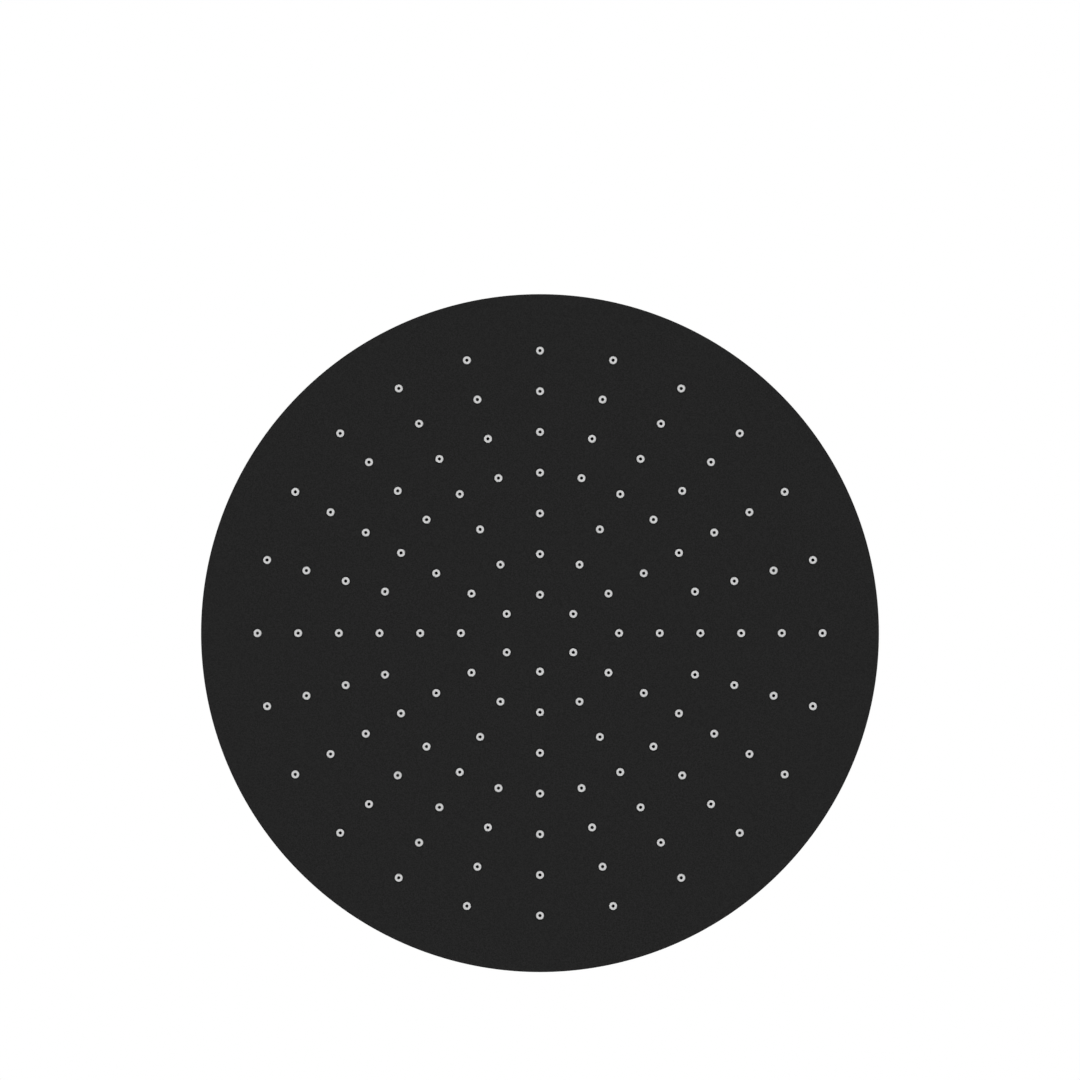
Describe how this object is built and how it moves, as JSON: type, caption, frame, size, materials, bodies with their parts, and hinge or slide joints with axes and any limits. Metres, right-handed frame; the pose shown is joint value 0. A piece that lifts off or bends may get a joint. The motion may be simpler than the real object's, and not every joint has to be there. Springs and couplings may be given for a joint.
{
  "type": "rainfall shower head",
  "caption": "Thin round overhead shower head with soft nozzles in rings, on a ball joint with a female threaded inlet.",
  "frame": {"origin": "centre of the inlet's mouth, where the shower arm enters", "axes": "+Z along the inlet, up and out of its mouth; the nozzles point along -Z; the wrench flats on the socket face +X and -X and those on the collar nut face +Y and -Y"},
  "size_m": [0.3, 0.3, 0.055],
  "materials": {
    "matte_black": "fine matte powder coat",
    "nozzle_silicone": "light grey soft silicone",
    "seal_rubber": "black rubber",
    "gasket_rubber": "dark grey rubber",
    "strainer_steel": "woven stainless wire",
    "white_plastic": "natural moulded plastic",
    "black_plastic": "black moulded plastic",
    "plain_brass": "turned brass"
  },
  "bodies": {
    "inlet": {"inlet_ball": "matte_black", "inlet_washer": "seal_rubber", "filter_screen": "strainer_steel", "flow_regulator": "white_plastic", "regulator_o_ring": "seal_rubber"},
    "bearing": {"bearing_ring": "black_plastic"},
    "seat": {"ball_seal": "seal_rubber", "seal_backing_ring": "white_plastic"},
    "head": {"collar_nut": "matte_black", "inlet_spigot": "plain_brass", "spigot_gasket": "gasket_rubber", "spigot_lock_nut": "plain_brass", "top_cover": "matte_black", "face_tray": "matte_black", "spacer_ring": "black_plastic", "rim_seal": "seal_rubber", "nozzle_retainer": "black_plastic", "support_posts": "black_plastic", "nozzles_ring_1": "nozzle_silicone", "nozzles_ring_2": "nozzle_silicone", "nozzles_ring_3": "nozzle_silicone", "nozzles_ring_4": "nozzle_silicone", "nozzles_ring_5": "nozzle_silicone", "nozzles_ring_6": "nozzle_silicone", "nozzles_ring_7": "nozzle_silicone"}
  },
  "joints": [
    {"name": "tilt_x", "type": "hinge", "parent": "inlet", "child": "bearing", "pos_m": [0, 0, -0.0287], "axis": [1, 0, 0], "range_deg": [-12, 12]},
    {"name": "tilt_y", "type": "hinge", "parent": "bearing", "child": "seat", "pos_m": [0, 0, -0.0287], "axis": [0, 1, 0], "range_deg": [-12, 12]},
    {"name": "head_spin", "type": "hinge", "parent": "seat", "child": "head", "pos_m": [0, 0, -0.0287], "axis": [0, 0, 1], "continuous": true}
  ]
}
